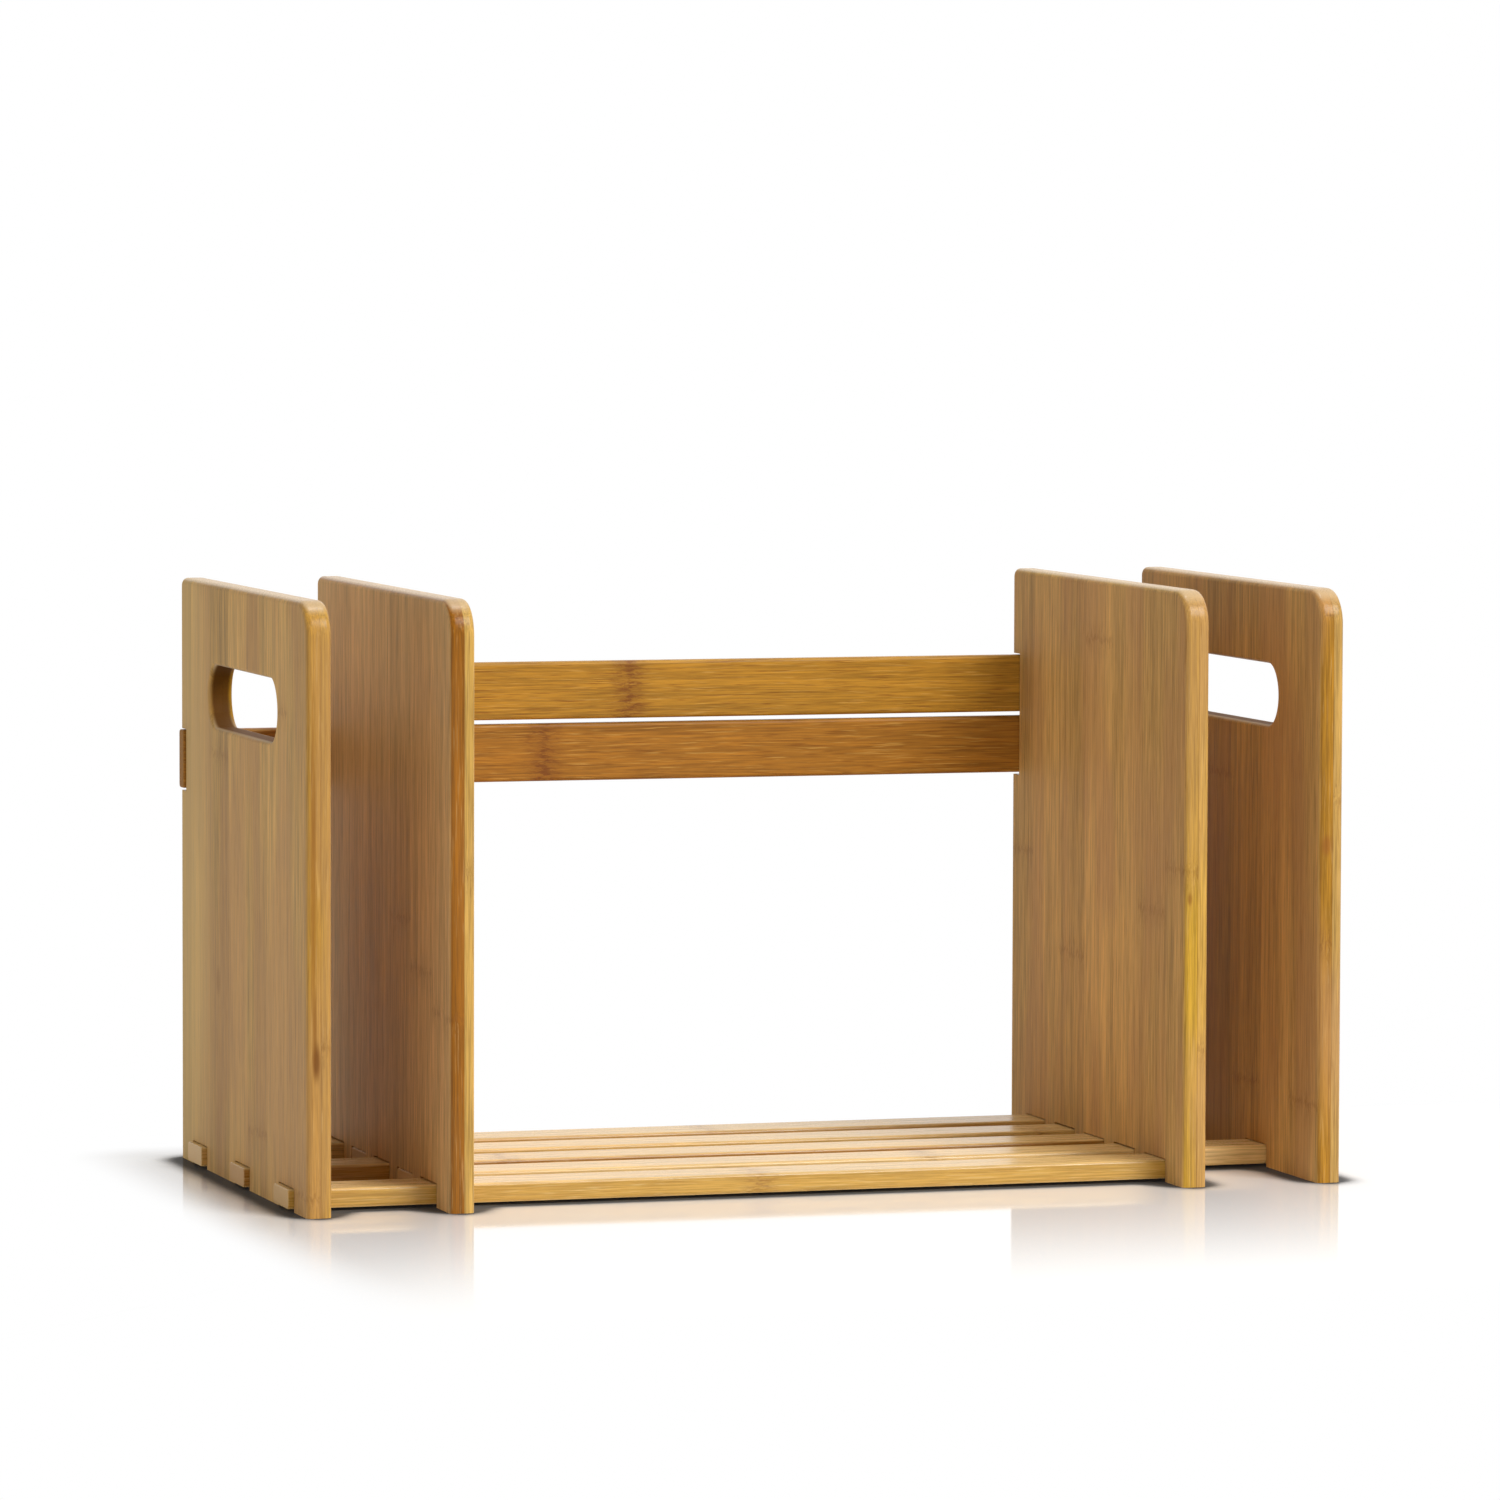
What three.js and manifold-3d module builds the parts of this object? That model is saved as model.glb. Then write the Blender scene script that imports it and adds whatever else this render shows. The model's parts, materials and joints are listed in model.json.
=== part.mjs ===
// Extending desktop book rack in laminated bamboo.
//
// Two halves run into each other along X. Each half is an outer board and an inner board
// joined by bottom slats and one back slat. The slats of one half pass through notches in
// the inner board of the other, so the bays between the boards grow as the rack is drawn
// out. Countersunk wood screws hold the slats in the notches of their own boards.
//
// Millimetres, +Z up, front towards -Y. The origin is on the table, under the middle of
// the rack.
import * as THREE from 'three';
import Module from 'manifold-3d';
import { mergeVertices } from 'three/addons/utils/BufferGeometryUtils.js';

// Boards: the four upright panels
const boardHeight = 200;
const boardDepth = 177;
const boardThickness = 8.5;
const boardEdgeRound = 2; // round where a board's faces meet its front, top and rear edges
const frontTopRadius = 10; // corners of a board's flat face, inside the round of its edges
const rearTopRadius = 1;

// Halves: how long each one is, and how far the rack is drawn out at rest
const halfLength = 310.5; // outer face of the outer board to the far face of the inner board
const endBayWidth = 39.5; // clear width between an outer board and the inner board beside it

// Hand hole in each outer board: a slot with round ends
const handleLength = 96;
const handleHeight = 21;
const handleDrop = 38; // top of the board down to the middle of the slot
const handleRound = 1.5; // round at the rims of the slot

// Bottom slats: five strips side by side, odd ones in the left half, even ones in the right
const slatWidth = 20;
const slatThickness = 6.5;
const slatMargin = 17.5; // front and rear edges of the boards to the first and the last slat
const slatLift = 1; // underside of the slats above the table
const slatProud = 2; // slat ends stand out of the outer board
const slatCount = 5;

// Back slats: one strip above the other, set into the rear edges of the boards
const backSlatHeight = 20;
const backSlatThickness = 6;
const backSlatSpacing = 1.5; // clear space between the lower and the upper one
const backPairDrop = 51.25; // top of the boards down to the middle of that space
const backInset = 1.5; // rear edges of the boards to the rear faces of the slats
const backSlatProud = 1; // back slat ends stand out of the outer board

// Rounds of every slat
const slatEndRound = 0.5; // where the sawn ends meet the long faces
const slatCornerRound = 1.3; // corners of the sawn ends, inside the round above

// Clearances
const seatGap = 0.3; // a slat in the notch that holds it
const slideGap = 0.5; // a slat in a notch that it runs through
const backNotchPlay = 1; // under a back slat in the notch that holds it
const screwGap = 0.3; // a screw in its hole

// Wood screws, countersunk, with a cross recess
const screwLength = 18;
const screwHeadRadius = 3;
const screwHeadRim = 0.3; // straight rim of the head
const screwHeadDepth = 1.9; // head face to the end of its cone
const screwShankRadius = 1.4;
const screwTipLength = 2.5;
const screwSink = 0.2; // head below the slat's face
const recessReach = 1.6; // middle of the head to the end of each recess arm
const recessWidth = 0.7;
const recessDepth = 1.2;

// How far a cutting solid runs past the face it cuts
const overrun = 2;

// Counts of facets, which carry no size
const cornerSteps = 8;
const smallCornerSteps = 3;
const slatCornerSteps = 3;
const bevelSteps = 3;
const handleEndSteps = 10;
const handleRimSteps = 3;
const screwSides = 16;

// Worked out from the sizes above
const halfShift = (endBayWidth + boardThickness) / 2; // each half's middle from the origin
const boardOffset = (halfLength - boardThickness) / 2; // a board's middle from its half's middle
const blankFoot = rearTopRadius + overrun; // flat faces of a board's blank, below the table
const slatPitch = (boardDepth - 2 * slatMargin - slatWidth) / (slatCount - 1);
const slatTop = slatLift + slatThickness;
const backPairHeight = boardHeight - backPairDrop; // above the table
const backSlatOffset = (backSlatSpacing + backSlatHeight) / 2;
const backSlatRear = boardDepth / 2 - backInset;
const backSlatFront = backSlatRear - backSlatThickness;

const quarterTurn = Math.PI / 2;

const wasm = await Module();
wasm.setup();

// Solids for joining and cutting

function toSolid(geometry) {
  const bare = geometry.clone();
  bare.deleteAttribute('normal');
  bare.deleteAttribute('uv');
  const merged = mergeVertices(bare);
  const corners = merged.index.array;
  const triangles = [];
  for (let first = 0; first < corners.length; first += 3) {
    const [a, b, c] = corners.slice(first, first + 3);
    if (a !== b && b !== c && c !== a) {
      triangles.push(a, b, c); // a lathe has flat triangles at its poles, left out here
    }
  }
  return new wasm.Manifold(new wasm.Mesh({
    numProp: 3,
    vertProperties: Float32Array.from(merged.getAttribute('position').array),
    triVerts: Uint32Array.from(triangles),
  }));
}

function cut(geometry, cutters) {
  let solid = toSolid(geometry);
  for (const cutter of cutters) {
    solid = solid.subtract(toSolid(cutter));
  }
  const mesh = solid.getMesh();
  const result = new THREE.BufferGeometry();
  result.setAttribute('position', new THREE.BufferAttribute(mesh.vertProperties, 3));
  result.setIndex(new THREE.BufferAttribute(mesh.triVerts, 1));
  result.computeVertexNormals();
  return result;
}

// Box given by its lowest and highest corners
function boxBetween(low, high) {
  const size = new THREE.Vector3().subVectors(high, low);
  const middle = new THREE.Vector3().addVectors(high, low).multiplyScalar(1 / 2);
  const box = new THREE.BoxGeometry(size.x, size.y, size.z);
  return box.translate(middle.x, middle.y, middle.z);
}

// Prism along X over the outline of its end faces, drawn with Y to the right and Z up.
// The round at the edges of those faces grows out from the outline.
function prismAlongX(outline, length, edgeRound) {
  const prism = new THREE.ExtrudeGeometry(new THREE.Shape(outline), {
    depth: length - 2 * edgeRound,
    steps: 1,
    bevelEnabled: true,
    bevelThickness: edgeRound,
    bevelSize: edgeRound,
    bevelSegments: bevelSteps,
    curveSegments: 1,
  });
  prism.translate(0, 0, edgeRound - length / 2);
  const axes = new THREE.Matrix4().makeBasis(
    new THREE.Vector3(0, 1, 0),
    new THREE.Vector3(0, 0, 1),
    new THREE.Vector3(1, 0, 0),
  );
  return prism.applyMatrix4(axes);
}

// Points of a rounded rectangle, anticlockwise from its bottom right corner.
// radii and steps are given for bottom right, top right, top left and bottom left.
function roundedOutline(left, bottom, right, top, radii, steps) {
  const corners = [
    [right - radii[0], bottom + radii[0]],
    [right - radii[1], top - radii[1]],
    [left + radii[2], top - radii[2]],
    [left + radii[3], bottom + radii[3]],
  ];
  const points = [];
  corners.forEach(([middleY, middleZ], corner) => {
    for (let step = 0; step <= steps[corner]; step += 1) {
      const angle = quarterTurn * (corner - 1 + step / steps[corner]);
      points.push(new THREE.Vector2(
        middleY + radii[corner] * Math.cos(angle),
        middleZ + radii[corner] * Math.sin(angle),
      ));
    }
  });
  return points;
}

// Boards

// The blank is rounded all round, and runs on below the table so that its foot can be sawn square
function blankBoard() {
  const outline = roundedOutline(
    boardEdgeRound - boardDepth / 2,
    -blankFoot,
    boardDepth / 2 - boardEdgeRound,
    boardHeight - boardEdgeRound,
    [rearTopRadius, rearTopRadius, frontTopRadius, rearTopRadius],
    [smallCornerSteps, smallCornerSteps, cornerSteps, smallCornerSteps],
  );
  return prismAlongX(outline, boardThickness, boardEdgeRound);
}

function footSaw() {
  const reachX = boardThickness / 2 + overrun;
  const reachY = boardDepth / 2 + overrun;
  return boxBetween(
    new THREE.Vector3(-reachX, -reachY, -blankFoot - boardEdgeRound - overrun),
    new THREE.Vector3(reachX, reachY, 0),
  );
}

// Slot outline with round ends, wider all round by the given margin
function slotRing(x, margin) {
  const radius = handleHeight / 2 + margin;
  const straight = (handleLength - handleHeight) / 2;
  const middleZ = boardHeight - handleDrop;
  const ring = [];
  for (const end of [1, -1]) {
    for (let step = 0; step <= handleEndSteps; step += 1) {
      const angle = Math.PI * (step / handleEndSteps) - quarterTurn * end;
      ring.push(new THREE.Vector3(
        x,
        end * straight + radius * Math.cos(angle),
        middleZ + radius * Math.sin(angle),
      ));
    }
  }
  return ring;
}

// Closed solid over rings that stand one after another along +X
function loft(rings) {
  const count = rings[0].length;
  const positions = rings.flat().flatMap((point) => point.toArray());
  const index = [];
  for (let ring = 0; ring < rings.length - 1; ring += 1) {
    for (let place = 0; place < count; place += 1) {
      const next = (place + 1) % count;
      const here = ring * count;
      const after = here + count;
      index.push(here + place, here + next, after + next);
      index.push(here + place, after + next, after + place);
    }
  }
  const last = (rings.length - 1) * count;
  for (let place = 1; place < count - 1; place += 1) {
    index.push(0, place + 1, place);
    index.push(last, last + place, last + place + 1);
  }
  const geometry = new THREE.BufferGeometry();
  geometry.setAttribute('position', new THREE.Float32BufferAttribute(positions, 3));
  geometry.setIndex(index);
  return geometry;
}

// The hand hole's cutter: it flares in a quarter round at both faces of the board
function handleCutter() {
  const face = boardThickness / 2;
  const near = [slotRing(-face - overrun, handleRound)];
  const far = [slotRing(face + overrun, handleRound)];
  for (let step = 0; step <= handleRimSteps; step += 1) {
    const angle = quarterTurn * (step / handleRimSteps);
    const inward = face - handleRound * (1 - Math.cos(angle));
    const margin = handleRound * (1 - Math.sin(angle));
    near.push(slotRing(-inward, margin));
    far.unshift(slotRing(inward, margin));
  }
  return loft([...near, ...far]);
}

function bottomNotch(slatY, gap) {
  const reach = boardThickness / 2 + overrun;
  return boxBetween(
    new THREE.Vector3(-reach, slatY - slatWidth / 2 - gap, -overrun),
    new THREE.Vector3(reach, slatY + slatWidth / 2 + gap, slatTop + gap),
  );
}

// Rear notch from below a back slat to above it, open to the rear
function rearNotch(lowZ, highZ, gap) {
  const reach = boardThickness / 2 + overrun;
  return boxBetween(
    new THREE.Vector3(-reach, backSlatFront - gap, lowZ),
    new THREE.Vector3(reach, boardDepth / 2 + overrun, highZ),
  );
}

// level is -1 for the lower back slat and 1 for the upper one
function backSlatMiddle(level) {
  return backPairHeight + level * backSlatOffset;
}

function outerRearNotch(level) {
  const middle = backSlatMiddle(level);
  const low = middle - backSlatHeight / 2 - backNotchPlay;
  const high = middle + backSlatHeight / 2 + seatGap;
  return rearNotch(low, high, seatGap);
}

// One tall notch for both back slats of an inner board, cut in two passes that meet
function innerRearNotches(ownLevel) {
  const slatEdge = (level, gap) => backSlatMiddle(level) + level * (backSlatHeight / 2 + gap);
  const ownGap = ownLevel < 0 ? backNotchPlay : seatGap;
  const passes = [
    [slatEdge(ownLevel, ownGap), seatGap],
    [slatEdge(-ownLevel, slideGap), slideGap],
  ];
  return passes.map(([edge, gap]) => (
    rearNotch(Math.min(edge, backPairHeight), Math.max(edge, backPairHeight), gap)
  ));
}

// Wood screws, drawn with the head's face at the origin and the point along +Z

function screwProfile(margin) {
  return [
    new THREE.Vector2(0, -margin),
    new THREE.Vector2(screwHeadRadius + margin, -margin),
    new THREE.Vector2(screwHeadRadius + margin, screwHeadRim),
    new THREE.Vector2(screwShankRadius + margin, screwHeadDepth),
    new THREE.Vector2(screwShankRadius + margin, screwLength - screwTipLength),
    new THREE.Vector2(0, screwLength + margin),
  ];
}

// The profile runs up the axis, so the lathe's Y is turned to Z
function screwBody(profile) {
  return new THREE.LatheGeometry(profile, screwSides).rotateX(quarterTurn);
}

function screwGeometry() {
  const bars = [[recessReach, recessWidth / 2], [recessWidth / 2, recessReach]];
  const recess = bars.map(([halfX, halfY]) => boxBetween(
    new THREE.Vector3(-halfX, -halfY, -overrun),
    new THREE.Vector3(halfX, halfY, recessDepth),
  ));
  return cut(screwBody(screwProfile(0)), recess);
}

// The hole for a screw is open at the head, so its cutter starts well before the head
function screwHole() {
  const profile = screwProfile(screwGap);
  profile[0].y = -overrun;
  profile[1].y = -overrun;
  return screwBody(profile);
}

// A screw that points up: its place in the frame of the half
function bottomScrewPlace(x, slatY) {
  return new THREE.Matrix4().makeTranslation(x, slatY, slatLift + screwSink);
}

// A screw that points to the front
function backScrewPlace(x, level) {
  const place = new THREE.Matrix4().makeTranslation(x, backSlatRear - screwSink, backSlatMiddle(level));
  return place.multiply(new THREE.Matrix4().makeRotationX(quarterTurn));
}

// Slats

function strip(length, width, thickness) {
  const halfWidth = width / 2 - slatEndRound;
  const halfThickness = thickness / 2 - slatEndRound;
  const outline = roundedOutline(
    -halfWidth,
    -halfThickness,
    halfWidth,
    halfThickness,
    Array(4).fill(slatCornerRound),
    Array(4).fill(slatCornerSteps),
  );
  return prismAlongX(outline, length, slatEndRound);
}

// Materials

const lacquered = (color) => new THREE.MeshStandardMaterial({ color, roughness: 0.45, metalness: 0 });
const lacqueredBoard = () => lacquered('#c49a63');
const lacqueredSlat = () => lacquered('#d2a55f');
const lacqueredBackSlat = () => lacquered('#b57f3a');
const zincPlate = () => new THREE.MeshStandardMaterial({ color: '#a9abad', roughness: 0.35, metalness: 1 });

function namedMesh(name, geometry, material) {
  const mesh = new THREE.Mesh(geometry, material);
  mesh.name = name;
  return mesh;
}

// Halves. side is -1 for the left half and 1 for the right one: its outer board is there.

const slatNumbers = Array.from({ length: slatCount }, (_, index) => index + 1);
const slatY = (number) => (number - (slatCount + 1) / 2) * slatPitch;
const slatNames = ['front', 'second', 'middle', 'fourth', 'rear'];

const halves = [
  {
    side: -1,
    backLevel: -1,
    outerName: 'left_outer',
    innerName: 'right_inner',
    backName: 'lower_back_slat',
    ownSlats: slatNumbers.filter((number) => number % 2 === 1),
    otherSlats: slatNumbers.filter((number) => number % 2 === 0),
  },
  {
    side: 1,
    backLevel: 1,
    outerName: 'right_outer',
    innerName: 'left_inner',
    backName: 'upper_back_slat',
    ownSlats: slatNumbers.filter((number) => number % 2 === 0),
    otherSlats: slatNumbers.filter((number) => number % 2 === 1),
  },
];

// Every screw of a half, with its name and its place
function screwsOf(half) {
  const boards = [[half.outerName, half.side], [half.innerName, -half.side]];
  return boards.flatMap(([name, boardSide]) => {
    const x = boardSide * boardOffset;
    const bottom = half.ownSlats.map((number) => ({
      name: `${name}_screw_${slatNames[number - 1]}`,
      boardSide,
      carrier: number,
      place: bottomScrewPlace(x, slatY(number)),
    }));
    const back = {
      name: `${name}_screw_back`,
      boardSide,
      carrier: half.backName,
      place: backScrewPlace(x, half.backLevel),
    };
    return [...bottom, back];
  });
}

// Cutters for the holes of some screws, in the frame of a piece that stands at offset
function holesFor(screws, offset) {
  return screws.map(({ place }) => (
    screwHole().applyMatrix4(place).translate(-offset.x, -offset.y, -offset.z)
  ));
}

function makeBoard(half, screws, name, boardSide, notches) {
  const place = new THREE.Vector3(boardSide * boardOffset, 0, 0);
  const own = screws.filter((screw) => screw.boardSide === boardSide);
  const cutters = [
    footSaw(),
    ...half.ownSlats.map((number) => bottomNotch(slatY(number), seatGap)),
    ...notches,
    ...holesFor(own, place),
  ];
  const board = namedMesh(`${name}_board`, cut(blankBoard(), cutters), lacqueredBoard());
  board.position.copy(place);
  return board;
}

function makeBottomSlat(half, screws, number) {
  const place = new THREE.Vector3(half.side * slatProud / 2, slatY(number), slatLift + slatThickness / 2);
  const own = screws.filter((screw) => screw.carrier === number);
  const blank = strip(halfLength + slatProud, slatWidth, slatThickness);
  const name = `bottom_slat_${slatNames[number - 1]}`;
  const slat = namedMesh(name, cut(blank, holesFor(own, place)), lacqueredSlat());
  slat.position.copy(place);
  return slat;
}

function makeBackSlat(half, screws) {
  const place = new THREE.Vector3(
    half.side * backSlatProud / 2,
    backSlatRear - backSlatThickness / 2,
    backSlatMiddle(half.backLevel),
  );
  const own = screws.filter((screw) => screw.carrier === half.backName);
  const blank = strip(halfLength + backSlatProud, backSlatHeight, backSlatThickness).rotateX(quarterTurn);
  const slat = namedMesh(half.backName, cut(blank, holesFor(own, place)), lacqueredBackSlat());
  slat.position.copy(place);
  return slat;
}

function makeScrew({ name, place }) {
  const screw = namedMesh(name, screwGeometry(), zincPlate());
  place.decompose(screw.position, screw.quaternion, screw.scale);
  return screw;
}

function makeHalf(half) {
  const screws = screwsOf(half);
  const group = new THREE.Group();
  group.position.x = half.side * halfShift;
  const outerNotches = [handleCutter(), outerRearNotch(half.backLevel)];
  const innerNotches = [
    ...half.otherSlats.map((number) => bottomNotch(slatY(number), slideGap)),
    ...innerRearNotches(half.backLevel),
  ];
  group.add(makeBoard(half, screws, half.outerName, half.side, outerNotches));
  group.add(makeBoard(half, screws, half.innerName, -half.side, innerNotches));
  half.ownSlats.forEach((number) => group.add(makeBottomSlat(half, screws, number)));
  group.add(makeBackSlat(half, screws));
  screws.forEach((screw) => group.add(makeScrew(screw)));
  return group;
}

const rack = new THREE.Group();
halves.forEach((half) => rack.add(makeHalf(half)));

export default rack;
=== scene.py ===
import json
import math

import bmesh
import bpy
from mathutils import Matrix, Vector


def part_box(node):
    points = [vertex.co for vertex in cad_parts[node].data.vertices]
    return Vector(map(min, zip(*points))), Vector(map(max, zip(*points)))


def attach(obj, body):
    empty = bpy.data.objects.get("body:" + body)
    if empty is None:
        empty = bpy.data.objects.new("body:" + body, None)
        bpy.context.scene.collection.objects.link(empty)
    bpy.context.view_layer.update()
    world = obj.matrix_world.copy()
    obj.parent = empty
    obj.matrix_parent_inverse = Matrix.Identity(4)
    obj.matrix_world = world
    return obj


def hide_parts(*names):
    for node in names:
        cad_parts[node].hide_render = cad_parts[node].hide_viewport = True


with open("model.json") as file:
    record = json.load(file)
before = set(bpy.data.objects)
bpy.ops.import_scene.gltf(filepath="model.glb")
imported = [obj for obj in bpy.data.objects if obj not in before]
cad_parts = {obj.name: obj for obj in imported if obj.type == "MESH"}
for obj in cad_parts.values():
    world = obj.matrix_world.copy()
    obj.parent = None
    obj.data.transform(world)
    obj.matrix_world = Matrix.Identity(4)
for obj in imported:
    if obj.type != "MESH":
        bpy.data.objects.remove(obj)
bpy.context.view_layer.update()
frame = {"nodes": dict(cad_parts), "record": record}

# Extending desktop book rack in laminated bamboo, drawn over the fixed frame.
# Sizes are written in millimetres and turned to metres by mm.
mm = 0.001
nearby = 0.02 * mm  # how close counts as on a plane
mergeWithin = 0.005 * mm
smoothBelow = 35  # degrees; an edge that turns further stays sharp

bodyOf = {
    node: body
    for body, nodes in frame["record"]["behaviour"]["bodies"].items()
    for node in nodes
}

# The rack's two halves: which boards, slats and screws belong together
halves = [
    {
        "outer": "left_outer",
        "inner": "right_inner",
        "slats": ["front", "middle", "rear"],
        "backSlat": "lower_back_slat",
    },
    {
        "outer": "right_outer",
        "inner": "left_inner",
        "slats": ["second", "fourth"],
        "backSlat": "upper_back_slat",
    },
]


# Small tools

def deselectAll():
    if bpy.context.object and bpy.context.object.mode != "OBJECT":
        bpy.ops.object.mode_set(mode="OBJECT")
    bpy.ops.object.select_all(action="DESELECT")


def selectOnly(piece):
    deselectAll()
    piece.select_set(True)
    bpy.context.view_layer.objects.active = piece


def blockBetween(low, high):
    # A block from one corner to the other; its place is in its mesh, its origin the frame's
    deselectAll()
    low, high = Vector(low), Vector(high)
    bpy.ops.mesh.primitive_cube_add(size=1, location=(low + high) / 2)
    block = bpy.context.object
    block.scale = high - low
    bpy.ops.object.transform_apply(location=True, rotation=True, scale=True)
    return block


def pickEdges(piece, wanted):
    # Goes into edit mode with only the edges selected whose two ends pass the test
    selectOnly(piece)
    bpy.ops.object.mode_set(mode="EDIT")
    bpy.ops.mesh.select_mode(type="EDGE")
    bpy.ops.mesh.select_all(action="DESELECT")
    mesh = bmesh.from_edit_mesh(piece.data)
    for edge in mesh.edges:
        if wanted(edge.verts[0].co, edge.verts[1].co):
            edge.select_set(True)
    bmesh.update_edit_mesh(piece.data)


def roundEdges(piece, wanted, radius, steps):
    pickEdges(piece, wanted)
    bpy.ops.mesh.bevel(offset=radius, segments=steps, profile=0.5, affect="EDGES")
    bpy.ops.object.mode_set(mode="OBJECT")


def onPlane(value, plane):
    return abs(value - plane) < nearby


def cutAway(piece, cutter):
    selectOnly(piece)
    bpy.ops.object.modifier_add(type="BOOLEAN")
    modifier = piece.modifiers[-1]
    modifier.operation = "DIFFERENCE"
    modifier.solver = "EXACT"
    modifier.object = cutter
    bpy.ops.object.modifier_apply(modifier=modifier.name)
    bpy.data.objects.remove(cutter)


def finishPiece(piece, node, material):
    # Clean corners and flat faces that shade flat, then the piece takes the node's place
    selectOnly(piece)
    bpy.ops.object.mode_set(mode="EDIT")
    bpy.ops.mesh.select_all(action="SELECT")
    bpy.ops.mesh.remove_doubles(threshold=mergeWithin)
    bpy.ops.mesh.normals_make_consistent(inside=False)
    bpy.ops.object.mode_set(mode="OBJECT")
    bpy.ops.object.shade_smooth_by_angle(angle=math.radians(smoothBelow))
    bpy.ops.object.modifier_add(type="WEIGHTED_NORMAL")
    piece.modifiers[-1].keep_sharp = True
    bpy.ops.object.modifier_apply(modifier=piece.modifiers[-1].name)
    words = node.split("_")
    piece.name = words[0] + "".join(word.capitalize() for word in words[1:])
    piece.data.name = piece.name
    piece.data.materials.clear()
    piece.data.materials.append(material)
    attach(piece, bodyOf[node])
    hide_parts(node)
    return piece


# Materials. Of a Mix node for colours, inputs 0, 6 and 7 are the share and the two colours,
# and output 2 is the mixed colour.
pureWhite = (1, 1, 1, 1)


def linearColour(hexColour):
    channels = [int(hexColour[place:place + 2], 16) / 255 for place in (1, 3, 5)]
    lit = [c / 12.92 if c <= 0.04045 else ((c + 0.055) / 1.055) ** 2.4 for c in channels]
    return (*lit, 1.0)


def addNode(tree, kind, inputs=(), **settings):
    # Inputs stand in the node's own order or under their names, and a node given as one
    # stands for its first output
    node = tree.nodes.new(kind)
    for name, value in settings.items():
        setattr(node, name, value)
    for name, value in inputs.items() if isinstance(inputs, dict) else enumerate(inputs):
        if isinstance(value, bpy.types.Node):
            value = value.outputs[0]
        if isinstance(value, bpy.types.NodeSocket):
            tree.links.new(value, node.inputs[name])
        else:
            node.inputs[name].default_value = value
    return node


def newMaterial(name):
    material = bpy.data.materials.new(name)
    material.use_nodes = True
    material.node_tree.nodes.clear()
    return material, material.node_tree


# Bamboo (moso, pressed from strips, sanded, then sprayed with a clear satin lacquer).
# The strips are long straight fibre: fine lines along the grain, short dark dashes where
# a bundle of fibres is cut, a jagged brown band at each node of the cane, dots on end grain.
bambooGrain = {
    "bundleSpacing": 1.2 * mm,
    "bundleStretch": 14,
    "bundleRandomness": 1.0,
    "wander": 0.4 * mm,  # how far the fibres swing from straight
    "wanderLength": 60 * mm,
    "wanderDetail": 1.0,
    "glueWidth": 0.12 * mm,
    "glueCore": 0.25,  # the share of its width over which the glue shows in full
    "seedStep": 10,  # a piece's strips are numbered from this many times its seed
    "seedParts": (1, 3, 7),  # a noise is moved by its seed over each of these
    "nodeJag": 5 * mm,  # how far a node's line strays along the grain
    "nodeSwirl": 0.9 * mm,  # how far the fibres bend round a node
    "fibreDepth": 0.03 * mm,
    "sunk": {"bundle": 0.4, "nodeLine": 0.6, "stripGlue": 0.5, "plyGlue": 1.0},
}
# Noises drawn out along the grain: width across it, length in widths, place, detail, roughness
grainNoises = {
    "fibre": (0.55 * mm, 40, 0.0, 3.0, 0.65),  # real fibres are finer; this coarse, they show
    "streak": (3.2 * mm, 30, 0.2, 2.0, 0.55),
    "blotch": (0.9 * mm, 5, 0.3, 3.0, 0.7),
    "nodeJag": (0.9 * mm, 12, 0.4, 3.0, 0.7),
    "darkDash": (0.6 * mm, 24, 0.5, 2.0, 0.55),
    "blush": (22 * mm, 5, 0.6, 1.0, 0.55),
    "lightDash": (0.6 * mm, 24, 0.7, 2.0, 0.55),
    "nodeSwirl": (2.6 * mm, 1.6, 0.9, 2.0, 0.55),
}
# Fades that turn a value into a mask: from one value to another, and the mask at either
grainFades = {
    "blush": (0.4, 0.62, 0.0, 1.0),
    "lightDash": (0.56, 0.72, 0.0, 1.0),
    "darkDash": (0.55, 0.72, 0.0, 1.0),
    "bundle": (0.1, 0.32, 1.0, 0.0),
    "blotch": (0.46, 0.6, 0.0, 1.0),
    "nodeNear": (0.0, 9 * mm, 1.0, 0.0),
    "nodeThickness": (0.35, 0.65, 0.1 * mm, 2.0 * mm),  # the mask is the line's thickness
    "nodeLine": (0.5, 1.0, 1.0, 0.0),
    "plyGlue": (0.05 * mm, 0.16 * mm, 1.0, 0.0),
    "endGrain": (0.55, 0.9, 0.0, 1.0),  # from how far the surface faces along the grain
    # painted shade on a hand hole's wall fades out over this far from the hole
    "holeWall": (0.0, 2 * mm, 1.0, 0.0),
    "mark": (0.25, 1.0, 1.0, 0.0),
}


def stretchedNoise(tree, place, seed, noise):
    width, stretch, shift, detail, roughness = grainNoises[noise]
    shift += seed
    offset = tuple(shift / part for part in bambooGrain["seedParts"])
    squeezed = {"Vector": place, "Location": offset, "Scale": (1, 1, 1 / stretch)}
    mapped = addNode(tree, "ShaderNodeMapping", squeezed)
    inputs = {"Vector": mapped, "Scale": 1 / width, "Detail": detail, "Roughness": roughness}
    return addNode(tree, "ShaderNodeTexNoise", inputs)


def awayFrom(tree, value, plane):
    # How far a value lies from a plane, on either side of it
    offset = addNode(tree, "ShaderNodeMath", [value, plane], operation="SUBTRACT")
    return addNode(tree, "ShaderNodeMath", [offset], operation="ABSOLUTE")


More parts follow.
